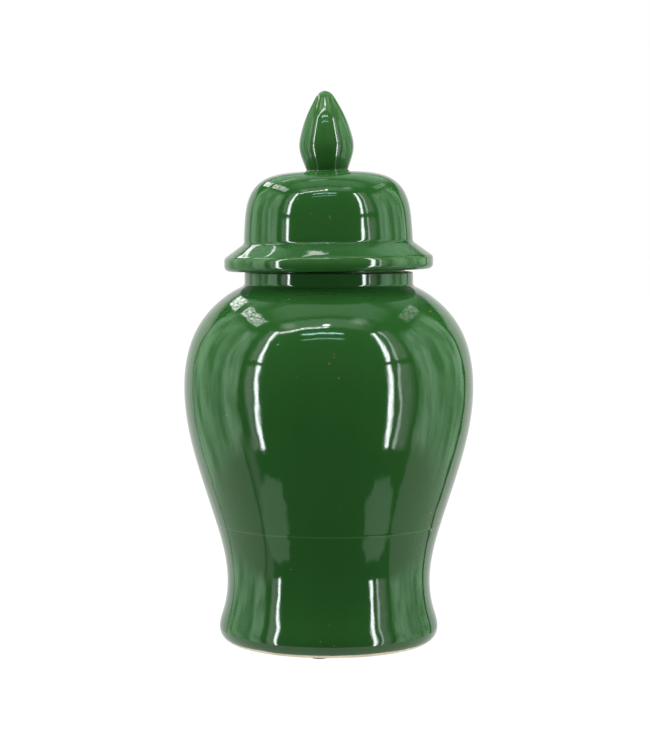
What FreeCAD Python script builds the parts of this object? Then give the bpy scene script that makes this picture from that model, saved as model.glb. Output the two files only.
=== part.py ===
"""Lidded ginger jar in glazed earthenware.

Millimetres, +Z up.  The origin is on the table, on the jar's axis.
The front is towards -Y.  Heights are above the table unless they say otherwise.
"""
import FreeCAD, Part
import math
import os

from FreeCAD import Vector

# --- Stick-on pads under the foot -------------------------------------------
PAD_RADIUS = 9.0
PAD_THICKNESS = 3.0
PAD_ROUNDING = 0.7
PAD_INSET = 10.0               # foot's outer standing edge to the pad's edge
PAD_MARGIN = 2.0               # pad's edge to the recess
PAD_FRONT_BEARING = -6.2       # front pad, degrees about Z from the front
PAD_NAMES = ("foot_pad_front", "foot_pad_right", "foot_pad_back", "foot_pad_left")

# --- Foot -------------------------------------------------------------------
BARE_EDGE_HEIGHT = 4.0         # unglazed band above the standing face
FOOT_RADIUS = 121.5            # widest point of the flared foot
FOOT_HEIGHT = 18.0
FOOT_TUCK = 9.5                # how far the standing edge lies inside the flare
FOOT_EDGE_SLANT = 26.0         # degrees from level, where it leaves the table
FLOOR_RECESS = 9.0             # underside of the floor above the standing face
FLOOR_THICKNESS = 8.0
FLOOR_CORNER = 14.0            # inside radius between the floor and the wall

# --- Body -------------------------------------------------------------------
BODY_HEIGHT = 412.0            # top of the neck
BODY_WALL = 7.0
WAIST_RADIUS = 112.7
WAIST_HEIGHT = 68.5
BELLY_RADIUS = 160.0
BELLY_HEIGHT = 284.0
SEAM_HEIGHT = 134.0            # where the two cast sections are luted together

# The swelling line passes through one point on each stretch between the foot,
# the waist, the belly and the neck, as shares of that stretch: height, radius.
ANKLE_RISE, ANKLE_SWELL = 0.355, 0.536
FLANK_RISE, FLANK_SWELL = 0.332, 0.298
UPPER_RISE, UPPER_SWELL = 0.594, 0.768

# --- Neck -------------------------------------------------------------------
NECK_RADIUS = 93.0
NECK_HEIGHT = 12.2             # straight part
NECK_ROOT_RADIUS = 5.0         # hollow corner between the shoulder and the neck
SHOULDER_SLOPE = 24.4          # degrees from level where it meets that corner
RIM_ROUNDING = 2.0

# --- Lid --------------------------------------------------------------------
LID_HEIGHT = 108.0             # seat to crown, without the finial
LID_WALL = 6.0
BRIM_OVERHANG = 22.2           # past the neck
BRIM_LOWER_ROUNDING = 6.0
BRIM_UPPER_ROUNDING = 6.0
BRIM_EDGE_HEIGHT = 11.3        # seat to the top of the brim's upright edge
BRIM_SLOPE = 36.0              # degrees below level
DOME_ROOT_RADIUS = 6.0
CROWN_MARGIN = 2.4             # level ring left around the finial
VENT_RADIUS = 3.0              # lets air out of the hollow finial in firing
SEAT_WEB = 8.0                 # thickness of the ring that sits on the neck

# The dome's round shoulder passes through these points, as shares of the way
# out from the crown's flat and of the way down to the dome's root.
DOME_LINE = ((0.455, 0.039), (0.692, 0.128), (0.850, 0.275), (0.958, 0.539), (0.988, 0.79))

# --- Collar that drops into the neck ----------------------------------------
COLLAR_CLEARANCE = 2.5
COLLAR_WALL = 4.5
COLLAR_DEPTH = 22.0
COLLAR_ROUNDING = 1.5

# --- Finial -----------------------------------------------------------------
FINIAL_HEIGHT = 88.6
FINIAL_RADIUS = 30.0
FINIAL_NECK_RADIUS = 22.9
SLIP_RING_WIDTH = 1.7          # ring of slip where it is luted to the crown
SLIP_RING_HEIGHT = 2.2
FINIAL_FLARE = 72.0            # degrees from level, where it leaves the slip ring
FINIAL_WALL = 5.0
FINIAL_TIP_WALL = 15.0         # solid clay above the hollow
FINIAL_HOLLOW_SHARE = 0.5      # hollow's radius halfway up the flame, as a share
FINIAL_BELLY_SHARE = 0.31      # height of its widest point, as a share
# Flame line above that point: share of the way up, share of the radius.
FLAME_LINE = ((0.254, 0.915), (0.54, 0.712), (0.827, 0.41), (0.969, 0.187))

# --- Worked out from the sizes above ----------------------------------------
STANDING_HEIGHT = PAD_THICKNESS
STANDING_RADIUS = FOOT_RADIUS - FOOT_TUCK
RECESS_RADIUS = STANDING_RADIUS - PAD_INSET - 2 * PAD_RADIUS - PAD_MARGIN
FLOOR_TOP = STANDING_HEIGHT + FLOOR_RECESS + FLOOR_THICKNESS
MOUTH_RADIUS = NECK_RADIUS - BODY_WALL
COLLAR_RADIUS = MOUTH_RADIUS - COLLAR_CLEARANCE
COLLAR_BORE = COLLAR_RADIUS - COLLAR_WALL
SEAT_HEIGHT = BODY_HEIGHT
CROWN_HEIGHT = SEAT_HEIGHT + LID_HEIGHT
FINIAL_BASE_RADIUS = FINIAL_NECK_RADIUS + SLIP_RING_WIDTH
CROWN_FLAT_RADIUS = FINIAL_BASE_RADIUS + CROWN_MARGIN
DOME_RADIUS = NECK_RADIUS
BRIM_RADIUS = NECK_RADIUS + BRIM_OVERHANG


# --- Outlines: (radius, height) pairs in the XZ plane ------------------------
def at(radius, height):
    return Vector(radius, 0, height)


def heading(degrees):
    """Unit direction in the outline's plane, measured up from outwards."""
    angle = math.radians(degrees)
    return Vector(math.cos(angle), 0, math.sin(angle))


def smooth_curve(points, start, end):
    """Smooth curve through the points, spaced by distance, with its end headings."""
    lengths = [0.0]
    for before, after in zip(points, points[1:]):
        lengths.append(lengths[-1] + before.distanceToPoint(after))
    curve = Part.BSplineCurve()
    curve.interpolate(Points=points, Parameters=lengths, InitialTangent=start,
                      FinalTangent=end, Scale=False)
    return curve


def inside_line(curve, points, wall, start, end):
    """The wall's inner face, square to an outer line that runs upwards."""
    inner = []
    for point in points:
        along = curve.tangent(curve.parameter(point))[0]
        inner.append(point + at(-along.z, along.x) * wall)
    return smooth_curve(inner, start, end)


def bend(start, heading_in, heading_out, radius):
    """Round corner between two headings, in degrees, and the point where it ends."""
    left = 1 if heading_out > heading_in else -1
    centre = start + heading(heading_in + 90 * left) * radius

    def point(degrees):
        return centre - heading(degrees + 90 * left) * radius

    end = point(heading_out)
    return Part.Arc(start, point((heading_in + heading_out) / 2), end), end


def backwards(curve):
    """The same curve, run the other way."""
    turned_round = curve.copy()
    turned_round.reverse()
    return turned_round


def turned(outline):
    """Solid of revolution from a closed chain of curves and points.

    Straight lines join each piece's end to the next one's start.
    """
    corners = [(piece, piece) if isinstance(piece, Vector) else (piece.StartPoint, piece.EndPoint)
               for piece in outline]
    edges = [piece.toShape() for piece in outline if not isinstance(piece, Vector)]
    for (_, end), (start, _) in zip(corners, corners[1:] + corners[:1]):
        if end.distanceToPoint(start) > 1e-6:
            edges.append(Part.makeLine(end, start))
    face = Part.Face(Part.Wire(Part.__sortEdges__(edges)))
    return face.revolve(Vector(), Vector(0, 0, 1), 360)


# --- Jar body ---------------------------------------------------------------
def shoulder_point():
    """Where the shoulder ends and the hollow corner of the neck begins."""
    slope = math.radians(SHOULDER_SLOPE)
    return at(NECK_RADIUS + NECK_ROOT_RADIUS * (1 - math.sin(slope)),
              BODY_HEIGHT - NECK_HEIGHT - NECK_ROOT_RADIUS * math.cos(slope))


def body_points():
    """Points that the outer line passes through, from the foot upwards."""
    foot, waist = at(FOOT_RADIUS, FOOT_HEIGHT), at(WAIST_RADIUS, WAIST_HEIGHT)
    belly, top = at(BELLY_RADIUS, BELLY_HEIGHT), shoulder_point()

    def between(lower, upper, narrow, wide, rise, swell):
        return at(narrow.x + swell * (wide.x - narrow.x), lower.z + rise * (upper.z - lower.z))

    ankle = between(foot, waist, waist, foot, ANKLE_RISE, ANKLE_SWELL)
    flank = between(waist, belly, waist, belly, FLANK_RISE, FLANK_SWELL)
    upper = between(belly, top, top, belly, UPPER_RISE, UPPER_SWELL)
    return [foot, ankle, waist, flank, belly, upper, top]


def foot_curve():
    """Lower edge of the foot: leaves the table at a slant, upright at the flare."""
    low = at(STANDING_RADIUS, STANDING_HEIGHT)
    high = at(FOOT_RADIUS, FOOT_HEIGHT)
    slant = math.tan(math.radians(FOOT_EDGE_SLANT))
    curve = Part.BezierCurve()
    curve.setPoles([low, at(high.x, low.z + slant * (high.x - low.x)), high])
    return curve


def body_outline():
    """Closed section of the whole body, from the foot to the neck and back."""
    points = body_points()
    up, inwards = heading(90), heading(180 - SHOULDER_SLOPE)
    outer = smooth_curve(points, up, inwards)
    root, _ = bend(points[-1], 180 - SHOULDER_SLOPE, 90, NECK_ROOT_RADIUS)

    # Rim: rounded outside and inside, flat between, where the lid sits.
    outer_rim, _ = bend(at(NECK_RADIUS, BODY_HEIGHT - RIM_ROUNDING), 90, 180, RIM_ROUNDING)
    inner_rim, _ = bend(at(MOUTH_RADIUS + RIM_ROUNDING, BODY_HEIGHT), 180, 270, RIM_ROUNDING)

    # Inside, from the waist to the neck's bore, then the corner of the floor.
    inner = inside_line(outer, points[2:], BODY_WALL, up, inwards)
    reach = inner.EndPoint.x - MOUTH_RADIUS
    inner_root, _ = bend(inner.EndPoint, 180 - SHOULDER_SLOPE, 90,
                         reach / (1 - math.sin(math.radians(SHOULDER_SLOPE))))
    corner, _ = bend(at(WAIST_RADIUS - BODY_WALL, FLOOR_TOP + FLOOR_CORNER), 270, 180, FLOOR_CORNER)

    floor_under = STANDING_HEIGHT + FLOOR_RECESS
    return [at(0, floor_under), at(RECESS_RADIUS, floor_under),
            at(RECESS_RADIUS, STANDING_HEIGHT), foot_curve(), outer, root,
            outer_rim, inner_rim, backwards(inner_root), backwards(inner), corner,
            at(0, FLOOR_TOP)]


def slab(low, high):
    """Wide block between two heights, to divide the body at its joints."""
    half = 2 * BELLY_RADIUS
    return Part.makeBox(2 * half, 2 * half, high - low, Vector(-half, -half, low))


def body_sections():
    body = turned(body_outline())
    glaze_line = STANDING_HEIGHT + BARE_EDGE_HEIGHT
    return {
        "foot_rim": body.common(slab(0, glaze_line)),
        "jar_lower_section": body.common(slab(glaze_line, SEAM_HEIGHT)),
        "jar_upper_section": body.common(slab(SEAM_HEIGHT, CROWN_HEIGHT)),
    }


# --- Pads -------------------------------------------------------------------
def bottom_edge(cylinder):
    return min(cylinder.Edges, key=lambda edge: edge.BoundBox.ZMax)


def foot_pads():
    pads = {}
    ring = STANDING_RADIUS - PAD_INSET - PAD_RADIUS
    for quarter, name in enumerate(PAD_NAMES):
        bearing = PAD_FRONT_BEARING - 90 + quarter * 360 / len(PAD_NAMES)
        across, along = math.cos(math.radians(bearing)), math.sin(math.radians(bearing))
        centre = Vector(ring * across, ring * along, 0)
        pad = Part.makeCylinder(PAD_RADIUS, PAD_THICKNESS, centre)
        pads[name] = pad.makeFillet(PAD_ROUNDING, [bottom_edge(pad)])
    return pads


# --- Lid --------------------------------------------------------------------
def dome_points(root):
    """Points of the dome's line, from its root up to the crown's flat."""
    across = root.x - CROWN_FLAT_RADIUS
    down = CROWN_HEIGHT - root.z
    shoulder = [at(CROWN_FLAT_RADIUS + out * across, CROWN_HEIGHT - drop * down)
                for out, drop in reversed(DOME_LINE)]
    return [root] + shoulder + [at(CROWN_FLAT_RADIUS, CROWN_HEIGHT)]


def brim_curves():
    """Underside corner, upright edge, ridge and slope, up to the dome's root."""
    lower, _ = bend(at(BRIM_RADIUS - BRIM_LOWER_ROUNDING, SEAT_HEIGHT), 0, 90, BRIM_LOWER_ROUNDING)
    slope_heading = 180 - BRIM_SLOPE
    upper, ridge = bend(at(BRIM_RADIUS, SEAT_HEIGHT + BRIM_EDGE_HEIGHT), 90, slope_heading,
                        BRIM_UPPER_ROUNDING)
    slope = math.radians(BRIM_SLOPE)
    root_start = DOME_RADIUS + DOME_ROOT_RADIUS * (1 - math.sin(slope))
    foot = ridge + at(-1, math.tan(slope)).multiply(ridge.x - root_start)
    root, top = bend(foot, slope_heading, 90, DOME_ROOT_RADIUS)
    return [lower, upper, root], top


def lid_shell():
    brim, root_top = brim_curves()
    points = dome_points(root_top)
    up, inwards = heading(90), heading(180)
    dome = smooth_curve(points, up, inwards)
    inner = inside_line(dome, points, LID_WALL, up, inwards)
    web_top = SEAT_HEIGHT + SEAT_WEB
    web_corner = at(DOME_RADIUS - LID_WALL, web_top + (DOME_RADIUS - LID_WALL - COLLAR_BORE))
    crown_under = CROWN_HEIGHT - LID_WALL
    return turned([at(COLLAR_BORE, SEAT_HEIGHT)] + brim
                  + [dome, at(VENT_RADIUS, CROWN_HEIGHT), at(VENT_RADIUS, crown_under),
                     backwards(inner), web_corner, at(COLLAR_BORE, web_top)])


def lid_collar():
    bottom = SEAT_HEIGHT - COLLAR_DEPTH
    outer_corner, _ = bend(at(COLLAR_RADIUS - COLLAR_ROUNDING, bottom), 0, 90, COLLAR_ROUNDING)
    inner_corner, _ = bend(at(COLLAR_BORE, bottom + COLLAR_ROUNDING), 270, 360, COLLAR_ROUNDING)
    return turned([at(COLLAR_BORE, SEAT_HEIGHT), inner_corner, outer_corner,
                   at(COLLAR_RADIUS, SEAT_HEIGHT)])


def finial():
    widest = CROWN_HEIGHT + FINIAL_BELLY_SHARE * FINIAL_HEIGHT
    tip = CROWN_HEIGHT + FINIAL_HEIGHT
    neck = at(FINIAL_NECK_RADIUS, CROWN_HEIGHT + SLIP_RING_HEIGHT)
    line = [neck, at(FINIAL_RADIUS, widest)]
    line += [at(share * FINIAL_RADIUS, widest + rise * (tip - widest)) for rise, share in FLAME_LINE]
    line += [at(0, tip)]
    outer = smooth_curve(line, heading(FINIAL_FLARE), heading(180))
    base, _ = bend(at(FINIAL_BASE_RADIUS, CROWN_HEIGHT), 90, 180,
                   min(SLIP_RING_WIDTH, SLIP_RING_HEIGHT))

    # Hollow, open downwards over the vent.
    bore = FINIAL_NECK_RADIUS - FINIAL_WALL
    hollow = [at(0, tip - FINIAL_TIP_WALL),
              at(FINIAL_HOLLOW_SHARE * FINIAL_RADIUS, (widest + tip) / 2),
              at(FINIAL_RADIUS - FINIAL_WALL, widest), at(bore, neck.z)]
    inner = smooth_curve(hollow, heading(0), heading(270))
    return turned([base, outer, inner, at(bore, CROWN_HEIGHT)])


# --- Parts ------------------------------------------------------------------
def main():
    parts = body_sections()
    parts.update(foot_pads())
    parts["lid_shell"] = lid_shell()
    parts["lid_collar"] = lid_collar()
    parts["finial"] = finial()

    os.makedirs("parts", exist_ok=True)
    for name, shape in parts.items():
        if len(shape.Solids) != 1 or not shape.isValid():
            raise ValueError(f"{name} is not one sound solid")
        shape.Solids[0].exportStep(f"parts/{name}.step")
        print(f"{name:18s} {shape.Volume / 1000:9.1f} cm3")


main()
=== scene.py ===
"""Lidded ginger jar in green glaze: its walls, bare clay edges and pads, its lights and camera.

Metres, +Z up, front towards -Y. Every piece but the pads is turned round the jar's axis from a
section of (radius, height) points, then given the small unevenness of a hand-finished pot.
"""

import math

import bmesh
import bpy
from mathutils import Matrix, Vector, noise


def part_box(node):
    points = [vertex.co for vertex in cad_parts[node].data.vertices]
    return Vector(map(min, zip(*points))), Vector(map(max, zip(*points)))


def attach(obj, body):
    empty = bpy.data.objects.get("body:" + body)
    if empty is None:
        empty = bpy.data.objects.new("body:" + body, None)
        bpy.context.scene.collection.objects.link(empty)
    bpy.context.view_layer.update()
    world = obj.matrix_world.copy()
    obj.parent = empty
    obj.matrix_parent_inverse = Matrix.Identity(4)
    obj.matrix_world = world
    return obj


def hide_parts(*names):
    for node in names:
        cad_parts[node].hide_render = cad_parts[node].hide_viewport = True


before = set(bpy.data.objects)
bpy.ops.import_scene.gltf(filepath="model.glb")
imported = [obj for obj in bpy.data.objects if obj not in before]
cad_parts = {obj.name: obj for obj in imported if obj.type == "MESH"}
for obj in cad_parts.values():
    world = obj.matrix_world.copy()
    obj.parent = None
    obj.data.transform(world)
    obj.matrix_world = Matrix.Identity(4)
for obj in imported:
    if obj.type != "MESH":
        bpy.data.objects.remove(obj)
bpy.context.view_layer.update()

# --- Sizes read from the frame -----------------------------------------------
STANDING_HEIGHT, GLAZE_LINE = (corner.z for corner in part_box("foot_rim"))
SEAM_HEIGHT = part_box("jar_lower_section")[1].z
BELLY_RADIUS, RIM_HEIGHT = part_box("jar_upper_section")[1].xz
BRIM_RADIUS, CROWN_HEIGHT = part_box("lid_shell")[1].xz
COLLAR_RADIUS, COLLAR_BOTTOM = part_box("lid_collar")[1].x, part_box("lid_collar")[0].z
FINIAL_RADIUS, TIP_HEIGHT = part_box("finial")[1].xz

# --- Body section --------------------------------------------------------------
FOOT_RADIUS, FOOT_HEIGHT = 0.1215, 0.018
FOOT_TUCK = 0.0095                  # how far the standing edge lies inside the flare
FOOT_EDGE_SLANT = 26                # degrees from level, where it leaves the table
RECESS_RADIUS = 0.082
FLOOR_UNDERSIDE, FLOOR_TOP = 0.012, 0.020
FLOOR_CORNER = 0.014                # rounding between floor and wall inside
ANKLE = Vector((0.1174, 0.0359))
WAIST = Vector((0.1127, 0.0685))
FLANK = Vector((0.1268, 0.140))
BELLY = Vector((BELLY_RADIUS, 0.284))
UPPER = Vector((0.1452, 0.350))
BODY_WALL = 0.007
NECK_RADIUS, NECK_HEIGHT = 0.093, 0.0122
NECK_ROOT_RADIUS = 0.005            # hollow corner under the neck
SHOULDER_SLOPE = 24.4               # degrees from level at that corner
RIM_ROUNDING = 0.002

# --- Lid section -----------------------------------------------------------------
LID_WALL = 0.006
BRIM_ROUNDING = 0.006
BRIM_EDGE_HEIGHT = 0.0113           # seat to the top of the upright edge
BRIM_SLOPE = 36                     # degrees from level
BRIM_TOP = 0.0295                   # seat to the root of the dome
DOME_ROOT_RADIUS = 0.006
CROWN_FLAT_RADIUS = 0.027
VENT_RADIUS = 0.003
SEAT_WEB = 0.008                    # height of the clay ring that carries the collar
COLLAR_WALL = 0.0045
COLLAR_ROUNDING = 0.0015
# Dome's shoulder: shares of the way out from the crown's flat, and down to the root.
DOME_LINE = ((0.455, 0.039), (0.692, 0.128), (0.850, 0.275), (0.958, 0.539), (0.988, 0.79))

# --- Finial section --------------------------------------------------------------
FINIAL_NECK_RADIUS = 0.0229
SLIP_RING = Vector((0.0017, 0.0022))    # bead of slip round its base: width, height
FINIAL_FLARE = 72                   # degrees from level, where it leaves its base
FINIAL_WALL = 0.005
FINIAL_TIP_WALL = 0.015             # clay over the top of the hollow
FINIAL_BELLY_SHARE = 0.31           # how far up the finial is widest
# Flame: shares of the way from there to the tip, and of the widest radius.
FLAME_LINE = ((0.254, 0.915), (0.54, 0.712), (0.827, 0.41), (0.969, 0.187))

# --- Workmanship -----------------------------------------------------------------
AROUND = 240                        # steps in a full turn
RING_STEP = 0.0025                  # distance between rings on a smooth wall
FINE_STEP = 0.0005                  # the same beside the luting seam
FINE_REACH = 0.006                  # how far those finer rings go to each side of it
FOOT_EDGE_STEPS = 40
CREASE = 40                         # degrees; a sharper corner keeps its edge
LID_LEAN = 0.9                      # degrees; the lid sits low on its left side
FINIAL_LEAN = 0.9                   # degrees more than the lid
SEAM_RIDGE = 0.00022                # how proud the wiped-down luting seam stands
SEAM_REACH = 0.0016                 # half width of that ridge
GLAZE_WAVER_REACH = 0.0015          # how far from the glaze line its wandering is felt
GLAZE_ROLL = 0.0004                 # thickness of the glaze's edge over the bare foot
CALM_RADIUS = 0.02                  # nearer the axis than this, the unevenness dies away
# Unevenness of a hand-finished wall: waves per metre, their height, and where they start.
WAVES = ((8, 0.00025, Vector((3.1, 0.7, 5.2))), (26, 0.00008, Vector((1.3, 8.8, 2.4))),
         (65, 0.00003, Vector((6.6, 2.9, 0.4))))

OUT, UP, IN, DOWN = 0, 90, 180, 270     # headings in a section, in degrees


# --- Sections ----------------------------------------------------------------------
def heading(degrees):
    return Vector((math.cos(math.radians(degrees)), math.sin(math.radians(degrees))))


def bend(start, heading_in, heading_out, radius, steps=8):
    """Points of a round corner between two headings, its ends included."""
    side = 90 if heading_out > heading_in else -90
    centre = start + heading(heading_in + side) * radius
    turn = (heading_out - heading_in) / steps
    return [centre - heading(heading_in + side + turn * i) * radius for i in range(steps + 1)]


class SmoothLine:
    """Evenly curving line through points, with the headings of its two ends."""

    def __init__(self, points, start, end):
        self.points = points
        self.lengths = [(b - a).length for a, b in zip(points, points[1:])]
        self.marks = [sum(self.lengths[:i]) for i in range(len(points))]
        self.slopes = self.solve(heading(start), heading(end))

    def solve(self, first, last):
        """Slopes at the points that keep the curvature even from span to span."""
        points, gaps = self.points, self.lengths
        share, held = [0.0], [first]
        for i in range(1, len(points) - 1):
            before, after = gaps[i - 1], gaps[i]
            wanted = 3 * (after / before * (points[i] - points[i - 1])
                          + before / after * (points[i + 1] - points[i]))
            weight = 2 * (before + after) - after * share[-1]
            share.append(before / weight)
            held.append((wanted - after * held[-1]) / weight)
        slopes = [last]
        for weight, part in zip(reversed(share), reversed(held)):
            slopes.append(part - weight * slopes[-1])
        return slopes[::-1]

    def point(self, distance):
        i = max(k for k, mark in enumerate(self.marks[:-1]) if mark <= distance or k == 0)
        gap = self.lengths[i]
        u = (distance - self.marks[i]) / gap
        a, b = self.points[i], self.points[i + 1]
        p, q = self.slopes[i] * gap, self.slopes[i + 1] * gap
        return (a + (b - a) * (u * u * (3 - 2 * u)) + p * (u * (1 - u) ** 2) - q * (u * u * (1 - u)))

    def at_height(self, height):
        """Distance along a rising line at which it reaches a height, by halving forty times."""
        low, high = 0.0, self.marks[-1]
        for _ in range(40):
            middle = (low + high) / 2
            low, high = (middle, high) if self.point(middle).y < height else (low, middle)
        return low

    def outward(self, distance):
        """Unit direction square to the line, away from the axis on a rising line."""
        nudge = 1e-5
        along = self.point(min(distance + nudge, self.marks[-1])) - self.point(max(distance - nudge, 0))
        return Vector((along.y, -along.x)).normalized()


def spaced(start, end, step):
    """Even distances from start to end, both included, no further apart than step."""
    count = max(1, math.ceil(abs(end - start) / step))
    return [start + (end - start) * i / count for i in range(count + 1)]


def body_line():
    slope = math.radians(SHOULDER_SLOPE)
    top = Vector((NECK_RADIUS + NECK_ROOT_RADIUS * (1 - math.sin(slope)),
                  RIM_HEIGHT - NECK_HEIGHT - NECK_ROOT_RADIUS * math.cos(slope)))
    foot = Vector((FOOT_RADIUS, FOOT_HEIGHT))
    return SmoothLine([foot, ANKLE, WAIST, FLANK, BELLY, UPPER, top], UP, IN - SHOULDER_SLOPE)


BODY = body_line()
SEAM_MARK = BODY.at_height(SEAM_HEIGHT)


def foot_edge():
    """Rising points of the foot's lower edge, from the table to the flare."""
    low = Vector((FOOT_RADIUS - FOOT_TUCK, STANDING_HEIGHT))
    high = Vector((FOOT_RADIUS, FOOT_HEIGHT))
    middle = Vector((high.x, low.y + math.tan(math.radians(FOOT_EDGE_SLANT)) * FOOT_TUCK))
    shares = [i / FOOT_EDGE_STEPS for i in range(FOOT_EDGE_STEPS + 1)]
    return [low * (1 - t) ** 2 + middle * (2 * t * (1 - t)) + high * t ** 2 for t in shares]


def crossing(points, height):
    """The point where a rising run of points reaches a height."""
    for a, b in zip(points, points[1:]):
        if a.y <= height <= b.y:
            return a + (b - a) * ((height - a.y) / (b.y - a.y))
    return points[-1]


def upper_body_section():
    outer = [BODY.point(d) for d in spaced(SEAM_MARK, SEAM_MARK + FINE_REACH, FINE_STEP)]
    outer += [BODY.point(d) for d in spaced(SEAM_MARK + FINE_REACH, BODY.marks[-1], RING_STEP)[1:]]
    neck = bend(outer[-1], IN - SHOULDER_SLOPE, UP, NECK_ROOT_RADIUS, 10)[1:]
    rim = bend(Vector((NECK_RADIUS, RIM_HEIGHT - RIM_ROUNDING)), UP, IN, RIM_ROUNDING)
    bore = NECK_RADIUS - BODY_WALL
    rim += bend(Vector((bore + RIM_ROUNDING, RIM_HEIGHT)), IN, DOWN, RIM_ROUNDING)

    inner = [BODY.point(d) - BODY.outward(d) * BODY_WALL
             for d in spaced(SEAM_MARK, BODY.marks[-1], 2 * RING_STEP)]
    slope = math.radians(SHOULDER_SLOPE)
    root_radius = (inner[-1].x - bore) / (1 - math.sin(slope))
    root = bend(inner[-1], IN - SHOULDER_SLOPE, UP, root_radius)
    return outer + neck + rim + root[::-1] + inner[-2::-1]


def lower_body_section():
    edge = foot_edge()
    foot = [crossing(edge, GLAZE_LINE)] + [p for p in edge if p.y > GLAZE_LINE]
    wall = [BODY.point(d) for d in spaced(0, SEAM_MARK - FINE_REACH, RING_STEP)[1:]]
    wall += [BODY.point(d) for d in spaced(SEAM_MARK - FINE_REACH, SEAM_MARK, FINE_STEP)[1:]]
    inside = [BODY.point(d) - BODY.outward(d) * BODY_WALL
              for d in spaced(SEAM_MARK, BODY.marks[2], 2 * RING_STEP)]
    corner = bend(Vector((WAIST.x - BODY_WALL, FLOOR_TOP + FLOOR_CORNER)), DOWN, IN, FLOOR_CORNER)
    return ([Vector((0, FLOOR_UNDERSIDE)), Vector((RECESS_RADIUS, FLOOR_UNDERSIDE)),
             Vector((RECESS_RADIUS, GLAZE_LINE))] + foot + wall + inside + corner
            + [Vector((0, FLOOR_TOP))])


def foot_rim_section():
    edge = foot_edge()
    outer = [p for p in edge if p.y < GLAZE_LINE] + [crossing(edge, GLAZE_LINE)]
    outer = [p - Vector((GLAZE_ROLL, 0)) for p in outer]
    soft = bend(outer[0] - Vector((RIM_ROUNDING, 0)), OUT, FOOT_EDGE_SLANT, RIM_ROUNDING, 4)[:-1]
    inner = bend(Vector((RECESS_RADIUS, STANDING_HEIGHT + RIM_ROUNDING / 2)), DOWN,
                 DOWN + 90, RIM_ROUNDING / 2, 4)
    return [Vector((RECESS_RADIUS, GLAZE_LINE))] + inner + soft + outer[1:]


def lid_section():
    lower = bend(Vector((BRIM_RADIUS - BRIM_ROUNDING, RIM_HEIGHT)), OUT, UP, BRIM_ROUNDING, 12)
    upper = bend(Vector((BRIM_RADIUS, RIM_HEIGHT + BRIM_EDGE_HEIGHT)), UP, IN - BRIM_SLOPE,
                 BRIM_ROUNDING)
    slope = math.radians(BRIM_SLOPE)
    root_start = NECK_RADIUS + DOME_ROOT_RADIUS * (1 - math.sin(slope))
    fall = upper[-1].x - root_start
    foot = upper[-1] + Vector((-fall, math.tan(slope) * fall))
    slope_points = [upper[-1].lerp(foot, t) for t in (0.2, 0.4, 0.6, 0.8)]
    root = bend(foot, IN - BRIM_SLOPE, UP, DOME_ROOT_RADIUS)

    across, down = root[-1].x - CROWN_FLAT_RADIUS, CROWN_HEIGHT - root[-1].y
    shoulder = [Vector((CROWN_FLAT_RADIUS + out * across, CROWN_HEIGHT - drop * down))
                for out, drop in reversed(DOME_LINE)]
    flat = Vector((CROWN_FLAT_RADIUS, CROWN_HEIGHT))
    dome = SmoothLine([root[-1]] + shoulder + [flat], UP, IN)
    outside = [dome.point(d) for d in spaced(0, dome.marks[-1], RING_STEP)][1:]
    inside = [dome.point(d) - dome.outward(d) * LID_WALL
              for d in spaced(0, dome.marks[-1], 2 * RING_STEP)]
    crown = [Vector((r, CROWN_HEIGHT)) for r in (0.020, 0.012, VENT_RADIUS)]
    bore = COLLAR_RADIUS - COLLAR_WALL
    web = RIM_HEIGHT + SEAT_WEB
    wall = NECK_RADIUS - LID_WALL
    return ([Vector((bore, RIM_HEIGHT)), Vector((NECK_RADIUS, RIM_HEIGHT))] + lower + upper
            + slope_points + root + outside + crown
            + [Vector((VENT_RADIUS, CROWN_HEIGHT - LID_WALL))] + inside[::-1]
            + [Vector((wall, web + wall - bore)), Vector((bore, web))])


def collar_section():
    bore = COLLAR_RADIUS - COLLAR_WALL
    outer = bend(Vector((COLLAR_RADIUS - COLLAR_ROUNDING, COLLAR_BOTTOM)), OUT, UP, COLLAR_ROUNDING)
    inner = bend(Vector((bore, COLLAR_BOTTOM + COLLAR_ROUNDING)), DOWN, DOWN + 90, COLLAR_ROUNDING)
    sides = [COLLAR_BOTTOM + (RIM_HEIGHT - COLLAR_BOTTOM) * t for t in (0.3, 0.6)]
    return ([Vector((bore, RIM_HEIGHT))] + [Vector((bore, z)) for z in reversed(sides)] + inner
            + outer + [Vector((COLLAR_RADIUS, z)) for z in sides]
            + [Vector((COLLAR_RADIUS, RIM_HEIGHT))])


def finial_section():
    tall = TIP_HEIGHT - CROWN_HEIGHT
    widest = CROWN_HEIGHT + FINIAL_BELLY_SHARE * tall
    neck = Vector((FINIAL_NECK_RADIUS, CROWN_HEIGHT + SLIP_RING.y))
    flame = [Vector((share * FINIAL_RADIUS, widest + rise * (TIP_HEIGHT - widest)))
             for rise, share in FLAME_LINE]
    line = SmoothLine([neck, Vector((FINIAL_RADIUS, widest))] + flame + [Vector((0, TIP_HEIGHT))],
                      FINIAL_FLARE, IN)
    bead = bend(Vector((FINIAL_NECK_RADIUS + SLIP_RING.x, CROWN_HEIGHT)), UP, IN, SLIP_RING.x, 6)
    outside = [line.point(d) for d in spaced(0, line.marks[-1], RING_STEP / 2)]
    bore = FINIAL_NECK_RADIUS - FINIAL_WALL
    hollow = SmoothLine([Vector((0, TIP_HEIGHT - FINIAL_TIP_WALL)),
                         Vector((FINIAL_RADIUS / 2, (widest + TIP_HEIGHT) / 2)),
                         Vector((FINIAL_RADIUS - FINIAL_WALL, widest)), Vector((bore, neck.y))],
                        OUT, DOWN)
    inside = [hollow.point(d) for d in spaced(0, hollow.marks[-1], 2 * RING_STEP)]
    return bead + outside + inside + [Vector((bore, CROWN_HEIGHT))]


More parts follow.
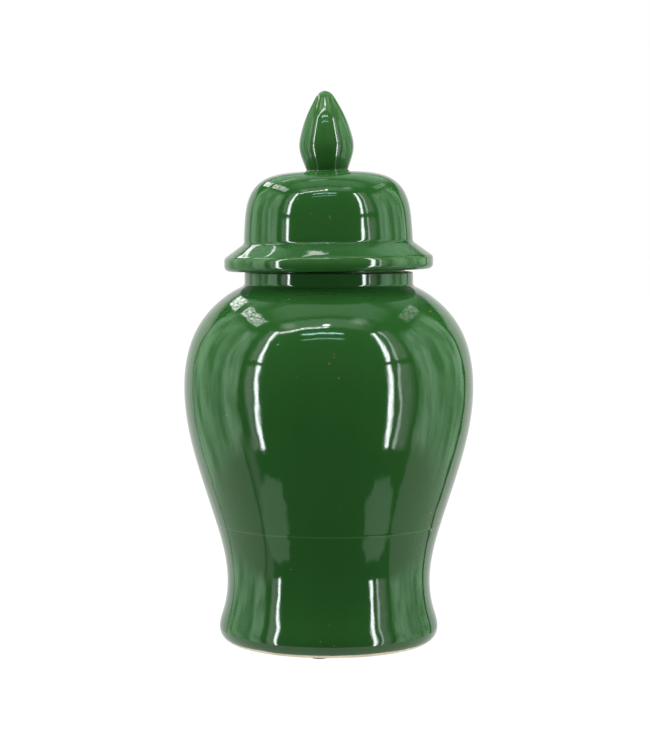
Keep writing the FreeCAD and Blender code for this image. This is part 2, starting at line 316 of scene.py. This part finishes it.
# --- Turning a section into a piece ---------------------------------------------
def turned(section, steps=AROUND):
    """Closed mesh of revolution. Ends on the axis become poles; otherwise the ring closes."""
    mesh = bmesh.new()
    corners = [mesh.verts.new((p.x, 0, p.y)) for p in section]
    on_axis = abs(section[0].x) < 1e-7 and abs(section[-1].x) < 1e-7
    pairs = zip(corners, corners[1:] if on_axis else corners[1:] + corners[:1])
    edges = [mesh.edges.new(pair) for pair in pairs]
    bmesh.ops.spin(mesh, geom=corners + edges, cent=(0, 0, 0), axis=(0, 0, 1),
                   angle=2 * math.pi, steps=steps, use_merge=True)
    bmesh.ops.remove_doubles(mesh, verts=mesh.verts, dist=1e-6)
    bmesh.ops.recalc_face_normals(mesh, faces=mesh.faces)
    return mesh


def from_axis(place):
    """Distance of a place from the jar's axis, and its level direction from there."""
    level = Vector((place.x, place.y, 0))
    return level.length, level.normalized()


def swell(height, line, reach):
    """1 at a line, less above and below it, and nothing from four times the reach."""
    away = (height - line) / reach
    return math.exp(-away * away) if abs(away) < 4 else 0


def made_by_hand(mesh):
    """Gives a true wall the shallow waves of a hand-finished one."""
    for vert in mesh.verts:
        radius, out = from_axis(vert.co)
        wave = sum(height * noise.noise(vert.co * waves + start) for waves, height, start in WAVES)
        vert.co += out * wave * min(1, radius / CALM_RADIUS)


def raise_seam(mesh):
    """Low, uneven ridge where the two halves of the body were luted and wiped down."""
    for vert in mesh.verts:
        rise = swell(vert.co.z, SEAM_HEIGHT, SEAM_REACH)
        radius, out = from_axis(vert.co)
        if rise and radius > WAIST.x:
            strength = 0.55 + 0.9 * noise.noise(vert.co * 11)
            vert.co += out * SEAM_RIDGE * strength * rise


def waver_glaze_line(mesh):
    """The glaze ends in a line that wanders up and down a little above the foot."""
    for vert in mesh.verts:
        near_line = swell(vert.co.z, GLAZE_LINE, GLAZE_WAVER_REACH)
        if near_line:
            bearing = from_axis(vert.co)[1]
            wander = 0.0005 * noise.noise(bearing * 3.5) + 0.0002 * noise.noise(bearing * 14)
            vert.co.z += wander * near_line


def lean(mesh, degrees, pivot):
    """Tips a piece towards -X about a point on its left."""
    turn = Matrix.Rotation(math.radians(-degrees), 3, "Y")
    bmesh.ops.rotate(mesh, verts=mesh.verts, cent=pivot, matrix=turn)


def finished(name, mesh, body, slot, material, *nodes):
    """Hands a mesh over as a piece of the object that stands for its CAD nodes."""
    for edge in mesh.edges:
        edge.smooth = not (len(edge.link_faces) == 2
                           and edge.calc_face_angle() > math.radians(CREASE))
    for face in mesh.faces:
        face.smooth = True
    data = bpy.data.meshes.new(name)
    mesh.to_mesh(data)
    mesh.free()
    piece = bpy.data.objects.new(name, data)
    bpy.context.scene.collection.objects.link(piece)
    data.materials.append(material)
    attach(piece, body)
    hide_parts(*nodes)


# --- Shader maths -----------------------------------------------------------------
class Field:
    """A number that varies over a surface. Arithmetic with it adds Math nodes."""

    def __init__(self, graph, socket):
        self.graph, self.socket = graph, socket

    def combine(self, operation, first, second):
        node = self.graph.node("ShaderNodeMath", {"operation": operation}, {0: first, 1: second})
        return Field(self.graph, node.outputs[0])

    def __add__(self, other):
        return self.combine("ADD", self, other)

    def __sub__(self, other):
        return self.combine("SUBTRACT", self, other)

    def __rsub__(self, other):
        return self.combine("SUBTRACT", other, self)

    def __mul__(self, other):
        return self.combine("MULTIPLY", self, other)

    __radd__, __rmul__ = __add__, __mul__

    def larger(self, other):
        return self.combine("MAXIMUM", self, other)

    def below(self, limit, soft):
        """1 well below a limit and 0 above it, over a soft edge."""
        return 1 - self.above(limit, soft)

    def above(self, limit, soft):
        """0 well below a limit and 1 above it, over a soft edge."""
        node = self.graph.node(
            "ShaderNodeMapRange", {"interpolation_type": "SMOOTHSTEP"},
            {"Value": self, "From Min": limit - soft / 2, "From Max": limit + soft / 2})
        return Field(self.graph, node.outputs["Result"])

    def inside(self, fade):
        """1 between 0 and 1, dimming to 0 at both ends over fade."""
        return self.above(fade / 2, fade) * self.below(1 - fade / 2, fade)

    def near(self, centre, reach):
        """1 at a value, falling to 0 at a distance of reach on both sides."""
        return self.above(centre - reach / 2, reach) * self.below(centre + reach / 2, reach)


class Graph:
    """The nodes of one material or lamp. place is the socket that says where on it they look."""

    def __init__(self, tree, place):
        self.tree = tree
        self.place = place

    def axes(self):
        """The place's three coordinates, as fields."""
        split = self.node("ShaderNodeSeparateXYZ", {}, {0: self.place})
        return [Field(self, output) for output in split.outputs]

    def distance(self, centre):
        node = self.node("ShaderNodeVectorMath", {"operation": "DISTANCE"},
                         {0: self.place, 1: centre})
        return Field(self, node.outputs["Value"])

    def node(self, kind, settings=None, inputs=None):
        """One node of a kind, with its settings made and its sockets fed."""
        made = self.tree.nodes.new(kind)
        for name, value in (settings or {}).items():
            setattr(made, name, value)
        for key, value in (inputs or {}).items():
            self.feed(made.inputs[key], value)
        return made

    def feed(self, target, value):
        source = value.socket if isinstance(value, Field) else value
        if isinstance(source, bpy.types.NodeSocket):
            self.tree.links.new(source, target)
        else:
            target.default_value = source

    def noise(self, scale, detail=2.0, stretch=(1, 1, 1)):
        """Cloudy field from 0 to 1, scale in clouds per metre."""
        where = self.node("ShaderNodeMapping", {}, {"Vector": self.place, "Scale": stretch})
        node = self.node("ShaderNodeTexNoise", {},
                         {"Vector": where.outputs[0], "Scale": scale, "Detail": detail})
        return Field(self, node.outputs[0])

    def specks(self, scale, size, share):
        """1 inside scattered round specks: cells per metre, radius as a share of a cell."""
        cells = self.node("ShaderNodeTexVoronoi", {}, {"Vector": self.place, "Scale": scale})
        split = self.node("ShaderNodeSeparateColor", {}, {0: cells.outputs["Color"]})
        chosen = Field(self, split.outputs[0]).below(share, 0.001)
        return Field(self, cells.outputs["Distance"]).below(size, size / 2) * chosen

    def blend(self, share, first, second):
        node = self.node("ShaderNodeMix", {"data_type": "RGBA"}, {0: share, 6: first, 7: second})
        return node.outputs[2]

    def bump(self, height, distance, under=None):
        """Surface relief from a field. distance is the height of 1, in metres."""
        inputs = {"Height": height, "Distance": distance, "Strength": 1.0}
        if under is not None:
            inputs["Normal"] = under
        return self.node("ShaderNodeBump", {}, inputs).outputs["Normal"]


class Finish(Graph):
    """One material, built up on the piece's own place in the frame."""

    def __init__(self, name, **constants):
        self.material = bpy.data.materials.new(name)
        self.material.use_nodes = True
        tree = self.material.node_tree
        super().__init__(tree, tree.nodes.new("ShaderNodeTexCoord").outputs["Object"])
        self.shader = tree.nodes["Principled BSDF"]
        for socket, value in constants.items():
            self.shader.inputs[socket.replace("_", " ")].default_value = value
        self.height = self.axes()[2]
        flat = self.node("ShaderNodeVectorMath", {"operation": "MULTIPLY"},
                         {0: self.place, 1: (1, 1, 0)})
        reach = self.node("ShaderNodeVectorMath", {"operation": "LENGTH"}, {0: flat.outputs[0]})
        self.radius = Field(self, reach.outputs["Value"])

    def set(self, **inputs):
        for socket, value in inputs.items():
            self.feed(self.shader.inputs[socket.replace("_", " ")], value)
        return self.material


GREEN = (0.0137, 0.0600, 0.0118, 1)
DEEP_GREEN = (0.0095, 0.0460, 0.0085, 1)
# Lighter green of thin glaze, also painted as highlight over the seam ridge and the finial.
THIN_GLAZE_AND_HIGHLIGHT_GREEN = (0.036, 0.096, 0.027, 1)
# Brown of iron specks in the clay, also used for painted reflections of warm things in front of the
# jar.
IRON_AND_REFLECTION_BROWN = (0.240, 0.110, 0.022, 1)
BUFF = (0.66, 0.585, 0.44, 1)
BUFF_DARK = (0.52, 0.44, 0.31, 1)
FOAM_DARK = (0.010, 0.010, 0.010, 1)
FOAM_LIGHT = (0.028, 0.028, 0.028, 1)


def clay_colour(finish):
    """Cloudy buff with darker grains of grog."""
    cloud = finish.noise(35, 4)
    grog = finish.specks(420, 0.22, 0.35)
    body = finish.blend(cloud.above(0.5, 0.5), BUFF_DARK, BUFF)
    return finish.blend(grog * 0.35, body, BUFF_DARK)


def green_glaze(name, bare=None, pooled_and_shaded=None, thin_and_highlit=None, warm_reflections=(), ripples=0.0002):
    """Deep green gloss glaze over buff clay.

    bare and the next two arguments each give a field from a finish: where the clay is bare; where
    the glaze is darker, pooled in hollows and as painted shade; and where it is lighter, drawn thin
    and as painted highlight. The fourth holds the middles of patches of brown specks painted as
    reflections of warm things in front of the jar, each with its radius. ripples is the height, in
    metres, of the small waves in the glaze.
    """
    finish = Finish(name, IOR=1.5)
    cloud = finish.noise(14, 3)
    runs = finish.noise(26, 2, (1, 1, 0.12))
    depth = cloud * 0.6 + runs * 0.4
    colour = finish.blend(depth.above(0.5, 0.5) * 0.35, GREEN, DEEP_GREEN)
    # Darker glaze: pooled in hollows, and painted shade over the body's neck under the brim.
    if pooled_and_shaded:
        colour = finish.blend(pooled_and_shaded(finish) * 0.45, colour, DEEP_GREEN)
    # Lighter glaze: drawn thin at edges, and painted highlight over the seam ridge and the finial's
    # upper part.
    if thin_and_highlit:
        lightened = thin_and_highlit(finish) * (finish.noise(60, 3) * 0.6 + 0.35)
        colour = finish.blend(lightened, colour, THIN_GLAZE_AND_HIGHLIGHT_GREEN)
    iron_and_reflection_specks = finish.specks(46, 0.045, 0.16).larger(finish.specks(90, 0.05, 0.05))
    # Painted reflections: brown specks in patches where warm things in front of the jar are mirrored.
    for middle, reach in warm_reflections:
        patch = finish.distance(middle).below(reach, reach)
        iron_and_reflection_specks = iron_and_reflection_specks.larger(finish.specks(210, 0.16, 0.2) * patch)
    colour = finish.blend(iron_and_reflection_specks * 0.85, colour, IRON_AND_REFLECTION_BROWN)

    roughness = finish.noise(50, 3) * 0.04 + 0.045
    ripple = finish.bump(finish.noise(60, 1, (1, 1, 0.6)), ripples)
    peel = finish.bump(finish.noise(300, 1), ripples / 16, ripple)
    pits = finish.bump(1 - finish.specks(150, 0.06, 0.12), ripples / 2, peel)
    if bare:
        unglazed = bare(finish)
        colour = finish.blend(unglazed, colour, clay_colour(finish))
        roughness = roughness + unglazed * 0.7
    return finish.set(Base_Color=colour, Roughness=roughness, Normal=pits)


def bare_clay(name, painted_shade=None):
    """Bare fired clay. The second argument gives a field from a finish: 1 where painted shade, a dark
    glossy green, covers the clay.
    """
    finish = Finish(name, IOR=1.45)
    grain = finish.noise(900, 3)
    wiped = finish.noise(90, 2, (1, 1, 6))
    colour, roughness = clay_colour(finish), 0.8 + grain * 0.15
    # Painted shade: dark glossy green over the clay.
    if painted_shade:
        shade = painted_shade(finish)
        colour = finish.blend(shade, colour, DEEP_GREEN)
        roughness = roughness - shade * 0.6
    relief = finish.bump(grain * 0.6 + wiped * 0.4, 0.00035)
    return finish.set(Base_Color=colour, Roughness=roughness, Normal=relief)


def foam_rubber(name):
    """Matt black foam with fine cells."""
    finish = Finish(name, IOR=1.4)
    cells = finish.noise(1400, 2)
    colour = finish.blend(cells.above(0.5, 0.4), FOAM_DARK, FOAM_LIGHT)
    return finish.set(Base_Color=colour, Roughness=0.75 + cells * 0.2,
                      Normal=finish.bump(cells, 0.0003))


# --- Where each glazed piece is bare, pooled or thin, and where painted shade, highlight and reflection lie on it ---
BARE_RING_RADIUS = NECK_RADIUS - 0.7 * BODY_WALL    # edge of the bare rings, on neck and lid
# Middles of patches of brown specks painted as reflections of warm things in front of the jar, each
# with its radius.
BELLY_WARM_REFLECTIONS = (((0.004, -0.157, 0.312), 0.017), ((0.058, -0.148, 0.309), 0.006))
FOOT_WARM_REFLECTIONS = (((-0.004, -0.117, 0.032), 0.018),)
LID_WARM_REFLECTIONS = (((-0.006, -0.088, 0.470), 0.017), ((0.020, -0.112, 0.436), 0.008))


def body_bare(finish):
    """Rim where the lid sits, and the mouth's bore as far as the collar hangs."""
    edge = finish.noise(40, 2) * 0.002
    rim = finish.height.above(RIM_HEIGHT - 0.0006, 0.0004)
    rim = rim * finish.radius.below(BARE_RING_RADIUS, 0.0006)
    bore = finish.radius.below(NECK_RADIUS - BODY_WALL / 2, 0.001)
    return rim.larger(bore * (finish.height + edge).above(COLLAR_BOTTOM + 0.001, 0.0008))


def body_pooled_and_shaded(finish):
    """Glaze pooled in the hollow corner under the neck, and painted shade over the neck itself, which
    lies in the brim's shadow.
    """
    root = RIM_HEIGHT - NECK_HEIGHT - NECK_ROOT_RADIUS / 2
    return finish.height.near(root, 0.004).larger(finish.height.above(root, 0.003))


def foot_bare(finish):
    """Underside of the floor and the wall of the recess."""
    inner = finish.radius.below(RECESS_RADIUS + 0.0005, 0.0008)
    return inner * finish.height.below((FLOOR_UNDERSIDE + FLOOR_TOP) / 2, 0.001)


def seam_thin_and_highlight(finish):
    """Lighter glaze over the ridge of the luting seam: drawn thin there, and a painted highlight
    standing for the pale reflection along it.
    """
    wander = (finish.noise(20, 2) - 0.5) * 0.0016
    return (finish.height + wander).near(SEAM_HEIGHT, 0.0014)


def foot_thin_and_seam_highlight(finish):
    """Along the edge of the glaze over the bare foot, and over the seam, where the lighter glaze is
    partly a painted highlight.
    """
    return finish.height.near(GLAZE_LINE, 0.0022).larger(seam_thin_and_highlight(finish))


def lid_bare(finish):
    """The ring that sits on the neck."""
    seat = finish.height.below(RIM_HEIGHT + 0.0032, 0.0006)
    return seat * finish.radius.below(BARE_RING_RADIUS, 0.0008)


def collar_painted_shade(finish):
    """Painted shade over the root of the collar just under the lid, where the gap under the brim lies
    in shadow: dark glossy green.
    """
    return (finish.height + finish.noise(60, 2) * 0.003).above(RIM_HEIGHT - 0.004, 0.001)


def lid_pooled(finish):
    """In the hollow corner between brim and dome."""
    corner = finish.height.near(RIM_HEIGHT + BRIM_TOP, 0.010)
    return finish.radius.near(NECK_RADIUS + 0.002, 0.006) * corner


def lid_thin(finish):
    """Over the rounded upper edge of the brim."""
    rounded = finish.radius.above(BRIM_RADIUS - 0.0035, 0.004)
    return rounded * finish.height.near(RIM_HEIGHT + BRIM_EDGE_HEIGHT + 0.002, 0.006)


def finial_thin_and_highlight(finish):
    """Lighter most at the tip, where the glaze drains away, and less down to the widest part; over the
    upper finial it is also a painted highlight for the room's reflection.
    """
    return finish.height.above((TIP_HEIGHT + CROWN_HEIGHT) / 2, TIP_HEIGHT - CROWN_HEIGHT)


# --- Pieces ----------------------------------------------------------------------
def make_body():
    upper = turned(upper_body_section())
    lower = turned(lower_body_section())
    rim = turned(foot_rim_section())
    for mesh in (upper, lower, rim):
        made_by_hand(mesh)
        raise_seam(mesh)
        waver_glaze_line(mesh)
    finished("glazed_upper_body", upper, "jar", "green_glaze",
             green_glaze("upper_body_glaze", body_bare, body_pooled_and_shaded, seam_thin_and_highlight, BELLY_WARM_REFLECTIONS),
             "jar_upper_section")
    finished("glazed_lower_body", lower, "jar", "green_glaze",
             green_glaze("lower_body_glaze", foot_bare, None, foot_thin_and_seam_highlight, FOOT_WARM_REFLECTIONS),
             "jar_lower_section")
    finished("bare_foot_edge", rim, "jar", "bare_clay", bare_clay("foot_edge_clay"), "foot_rim")


def make_lid():
    pivot = Vector((-NECK_RADIUS, 0, RIM_HEIGHT))
    shell = turned(lid_section())
    collar = turned(collar_section())
    flame = turned(finial_section(), AROUND // 2)
    lean(flame, FINIAL_LEAN, Vector((0, 0, CROWN_HEIGHT)))
    for mesh in (shell, collar, flame):
        made_by_hand(mesh)
        lean(mesh, LID_LEAN, pivot)
    finished("glazed_lid", shell, "lid", "green_glaze",
             green_glaze("lid_glaze", lid_bare, lid_pooled, lid_thin, LID_WARM_REFLECTIONS), "lid_shell")
    finished("bare_lid_collar", collar, "lid", "bare_clay", bare_clay("collar_clay", collar_painted_shade),
             "lid_collar")
    finished("flame_finial", flame, "lid", "green_glaze",
             green_glaze("finial_glaze", None, None, finial_thin_and_highlight, ripples=0.00005), "finial")


def make_pads():
    """Round foam pads, pressed a little wider between the foot and the table."""
    rubber = foam_rubber("pad_foam")
    for node in ("foot_pad_front", "foot_pad_right", "foot_pad_back", "foot_pad_left"):
        low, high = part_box(node)
        radius, thickness = (high.x - low.x) / 2, high.z - low.z
        mesh = bmesh.new()
        bmesh.ops.create_cone(mesh, cap_ends=True, segments=64, radius1=radius, radius2=radius,
                              depth=thickness)
        rims = [e for e in mesh.edges if abs(e.verts[0].co.z - e.verts[1].co.z) < 1e-6]
        bmesh.ops.bevel(mesh, geom=rims, offset=0.22 * thickness, offset_type="OFFSET", segments=4,
                        profile=0.5, material=-1, affect="EDGES")
        bmesh.ops.translate(mesh, verts=mesh.verts, vec=(low + high) / 2)
        finished("foam_" + node[5:], mesh, "jar", "pad_rubber", rubber, node)


# --- Studio -----------------------------------------------------------------------
# Everything here is only there to be mirrored in the glaze, or to light it.
WALL_TINT = (0.68, 1, 0.74)
PAPER_TINT = (0.74, 1, 0.80)
CYAN = (0.62, 1, 1)
COOL = (0.93, 0.98, 1)
WHITE = (1, 1, 1)
DIM_ROOM = (0.02, 0.025, 0.022)

# Patches that dim a lamp: how many across and along it, and how dark they get.
FINE_CREASES = (4, 40, 0.4)
CLOTH_FOLDS = (5, 3, 0.75)
TUBE_PATCHES = (14, 2, 0.7)
WINDOW_PANES = (7, 9, 1.0)

STRIP_BOTTOM, STRIP_TOP = -0.5, 2.05
STRIP_DISTANCE = 1.5
STRIP_JOINT = 0.05                  # height of the dark joint between two strips
PAPER_HEIGHT = -0.5                 # of the two papers, from the level the jar stands on
PAPER_MIDDLES = {"paper_left": (-0.75, -0.49), "paper_right": (0.67, -0.54)}

CAMERA_PLACE = Vector((-0.0042, -2.25, 0.455))
CAMERA_AIM = Vector((-0.0042, 0, 0.2973))
CAMERA_LENS, SENSOR_WIDTH = 97.7, 36    # millimetres


def soften(light, fade_across, fade_along, creases):
    """Lets a lamp fade towards its edges, and dims it in patches like a creased diffuser."""
    light.use_nodes = True
    tree = light.node_tree
    graph = Graph(tree, tree.nodes.new("ShaderNodeNewGeometry").outputs["Parametric"])
    across, along, _ = graph.axes()
    strength = across.inside(fade_across) * along.inside(fade_along)
    if creases:
        cells_across, cells_along, depth = creases
        cloud = graph.noise(1, 3, (cells_across, cells_along, 1))
        strength = strength * (1 - cloud.above(0.5, 0.3) * depth)
    graph.feed(tree.nodes["Emission"].inputs["Strength"], strength)


def lamp(name, size, radiance, place, aim, colour=WHITE, fade=(0.1, 0.1), creases=None):
    """Flat lamp, unseen by the camera, facing from a place along aim.

    fade gives the shares of its width and height over which each edge dims.
    """
    light = bpy.data.lights.new(name, "AREA")
    light.shape = "RECTANGLE"
    light.size, light.size_y = size
    light.energy = radiance * math.pi * size[0] * size[1]
    light.color = colour
    soften(light, *fade, creases)
    holder = bpy.data.objects.new(name, light)
    holder.location = place
    holder.rotation_euler = Vector(aim).to_track_quat("-Z", "Y").to_euler()
    holder.visible_camera = False
    bpy.context.scene.collection.objects.link(holder)
    return holder


def standing_light(name, start, end, low, high, distance, radiance, **looks):
    """Upright light between two bearings from the front, in degrees, facing the jar."""
    bearing = math.radians((start + end) / 2)
    half = math.radians(abs(end - start) / 2)
    out = Vector((math.sin(bearing), -math.cos(bearing), 0))
    return lamp(name, (2 * distance * math.tan(half), high - low), radiance,
                out * distance + Vector((0, 0, (low + high) / 2)), -out, **looks)


def overhead_light(name, x, y, radiance, height=2.2, **looks):
    """Level light over the jar, between two values of x and two of y."""
    centre = Vector(((x[0] + x[1]) / 2, (y[0] + y[1]) / 2, height))
    return lamp(name, (x[1] - x[0], y[1] - y[0]), radiance, centre, (0, 0, -1), **looks)


def strip_light(name, start, end, radiance, joint, **looks):
    """Tall strip of two lamps, one over the other, with a dark joint between them at a height."""
    standing_light(name + "_low", start, end, STRIP_BOTTOM, joint - STRIP_JOINT / 2,
                   STRIP_DISTANCE, radiance, **looks)
    standing_light(name + "_high", start, end, joint + STRIP_JOINT / 2, STRIP_TOP,
                   STRIP_DISTANCE, radiance, **looks)


def strips():
    """The two tall lights in front, each with a weaker glow beside it."""
    bright = dict(fade=(0.45, 0.02), creases=FINE_CREASES)
    glow = dict(fade=(0.45, 0.05), creases=FINE_CREASES)
    strip_light("left_strip", -58, -52.8, 33, 0.73, colour=COOL, **bright)
    strip_light("left_strip_glow", -67, -56, 2.0, 0.73, **glow)
    strip_light("right_strip", 44, 50, 33, 0.77, colour=COOL, **bright)
    strip_light("right_strip_second", 53, 56.5, 8, 0.77, colour=COOL, **bright)
    strip_light("right_strip_glow", 50, 69, 1.4, 0.77, **glow)


def side_walls():
    """Pale cloth walls at both sides, darker below, with a wall behind and a dim room in front."""
    walls = dict(low=-0.65, high=2.0, distance=1.7, colour=WALL_TINT, creases=CLOTH_FOLDS)
    standing_light("left_wall_near", -92, -71, radiance=1.7, fade=(0.3, 0.12), **walls)
    standing_light("left_wall", -132.5, -72, radiance=1.5, fade=(0.02, 0.12), **walls)
    standing_light("right_wall_near", 70.5, 94, radiance=1.5, fade=(0.3, 0.12), **walls)
    standing_light("right_wall", 70.5, 130, radiance=1.5, fade=(0.02, 0.12), **walls)
    low = dict(low=-2.1, high=-0.33, distance=1.75, radiance=0.68, fade=(0.02, 0.18))
    standing_light("left_wall_low", -132.5, -76, **low)
    standing_light("right_wall_low", 71, 130, **low)
    standing_light("left_wall_low_edge", -76, -62, low=-2.1, high=-0.33, distance=1.75,
                   radiance=0.6, fade=(0.4, 0.18))
    standing_light("back_wall", 134.5, 226, low=-1.3, high=1.5, distance=1.9, radiance=0.85,
                   fade=(0.01, 0.12))
    standing_light("room", -44, 44, low=0.3, high=2.6, distance=3, radiance=0.04, fade=(0.2, 0.2))


def ceiling():
    """Tinted ceiling, with tubes, spots and skylights a little under it so that none is hidden."""
    soft = dict(colour=WALL_TINT, fade=(0.25, 0.25))
    overhead_light("ceiling_back", (-1.9, 1.9), (0.3, 4.0), 1.0, height=2.30, **soft)
    overhead_light("ceiling_middle", (-1.4, 1.4), (-0.55, 0.5), 1.0, height=2.28, **soft)
    overhead_light("ceiling_front", (-1.3, 1.2), (-1.15, -0.5), 1.5, height=2.26, **soft)
    overhead_light("blob_left", (-1.25, -0.7), (-1.0, -0.5), 2.4, height=2.25, fade=(0.45, 0.45))
    overhead_light("blob_right", (0.4, 0.9), (-0.85, -0.35), 2.4, height=2.24, fade=(0.45, 0.45))
    overhead_light("cyan_tube_near", (-0.93, 0.50), (-1.80, -1.73), 9, colour=CYAN)
    overhead_light("cyan_tube_far", (-0.80, 0.44), (-1.42, -1.35), 20, colour=CYAN)
    overhead_light("cyan_end", (-1.98, -1.86), (-1.80, -1.70), 9, colour=CYAN)
    overhead_light("white_tube", (-1.38, 0.0), (-1.08, -0.96), 26, fade=(0.05, 0.3),
                   creases=TUBE_PATCHES)
    overhead_light("white_spot", (-0.16, 0.02), (-0.95, -0.84), 40, height=2.19, fade=(0.3, 0.3))
    window = dict(fade=(0.15, 0.05), creases=WINDOW_PANES)
    overhead_light("window_left_near", (-1.80, -1.3), (-0.2, 1.2), 10, **window)
    overhead_light("window_left_far", (-1.85, -1.25), (1.6, 3.2), 8, **window)
    overhead_light("window_row_right", (1.35, 1.8), (0.2, 1.5), 2.5, **window)
    overhead_light("back_tube_left", (-1.05, -0.55), (1.15, 1.21), 9, fade=(0.2, 0.2))
    overhead_light("back_tube_middle", (-0.45, 0.0), (0.44, 0.49), 9, fade=(0.2, 0.2))


def plain_light():
    """Soft light from above and from both sides that colours the glaze without mirroring in it."""
    sides = dict(low=0, high=1.5, distance=1.6, radiance=7)
    for holder in (overhead_light("fill_above", (-0.8, 0.8), (-0.8, 0.8), 6.5, height=2.1),
                   standing_light("fill_left", -120, -85, **sides),
                   standing_light("fill_right", 85, 120, **sides)):
        holder.visible_glossy = False


def white_surface(name, brightness, tint, centre, radius, soft, torn):
    """Evenly bright surface that fades out at a radius from its centre, over a soft edge.

    torn is how far its edge wanders in and out.
    """
    material = bpy.data.materials.new(name)
    material.use_nodes = True
    tree = material.node_tree
    tree.nodes.remove(tree.nodes["Principled BSDF"])
    graph = Graph(tree, tree.nodes.new("ShaderNodeTexCoord").outputs["Object"])
    reach = graph.distance(centre) + (graph.noise(11, 4) - 0.5) * torn
    glow = graph.node("ShaderNodeEmission", {}, {"Color": (*tint, 1), "Strength": brightness})
    clear = graph.node("ShaderNodeBsdfTransparent")
    sheet = graph.node("ShaderNodeMixShader", {},
                       {0: reach.below(radius, soft), 1: clear.outputs[0], 2: glow.outputs[0]})
    graph.feed(tree.nodes["Material Output"].inputs["Surface"], sheet.outputs[0])
    return material


def stage_sheet(name, radius, centre, brightness, tint=WHITE, soft=0.001, torn=0.0):
    """Level round glowing sheet that belongs to the stage and not to the jar."""
    mesh = bmesh.new()
    bmesh.ops.create_circle(mesh, cap_ends=True, segments=96, radius=radius + soft + torn / 2)
    bmesh.ops.translate(mesh, verts=mesh.verts, vec=centre)
    data = bpy.data.meshes.new(name)
    mesh.to_mesh(data)
    mesh.free()
    sheet = bpy.data.objects.new(name, data)
    bpy.context.scene.collection.objects.link(sheet)
    data.materials.append(white_surface(name, brightness, tint, centre, radius, soft, torn))
    return sheet


def white_stage():
    """Pedestal under the jar, the pale floor, and two torn papers that the waist mirrors."""
    stage_sheet("pedestal", radius=0.165, centre=(0, 0, 0), brightness=1.05)
    floor = stage_sheet("floor", radius=12, centre=(0, 0, -0.001), brightness=1.05)
    floor.visible_glossy = False
    for name, (x, y) in PAPER_MIDDLES.items():
        paper = stage_sheet(name, radius=0.22, centre=(x, y, PAPER_HEIGHT), brightness=1.15,
                            tint=PAPER_TINT, soft=0.05, torn=0.26)
        paper.visible_camera = paper.visible_diffuse = False


def white_room():
    """Pure white to the camera, and a dim room to the glaze and the light."""
    world = bpy.data.worlds.new("studio")
    bpy.context.scene.world = world
    world.use_nodes = True
    nodes, links = world.node_tree.nodes, world.node_tree.links
    seen = nodes.new("ShaderNodeLightPath")
    mix = nodes.new("ShaderNodeMix")
    mix.data_type = "RGBA"
    mix.inputs[6].default_value = (*DIM_ROOM, 1)
    mix.inputs[7].default_value = (*WHITE, 1)
    links.new(seen.outputs["Is Camera Ray"], mix.inputs[0])
    links.new(mix.outputs[2], nodes["Background"].inputs["Color"])


def make_camera():
    camera = bpy.data.cameras.new("camera")
    camera.lens, camera.sensor_width = CAMERA_LENS, SENSOR_WIDTH
    holder = bpy.data.objects.new("camera", camera)
    holder.location = CAMERA_PLACE
    holder.rotation_euler = (CAMERA_AIM - CAMERA_PLACE).to_track_quat("-Z", "Y").to_euler()
    bpy.context.scene.collection.objects.link(holder)
    bpy.context.scene.camera = holder
    bpy.context.scene.view_settings.view_transform = "Standard"


make_body()
make_lid()
make_pads()
strips()
side_walls()
ceiling()
plain_light()
white_stage()
white_room()
make_camera()
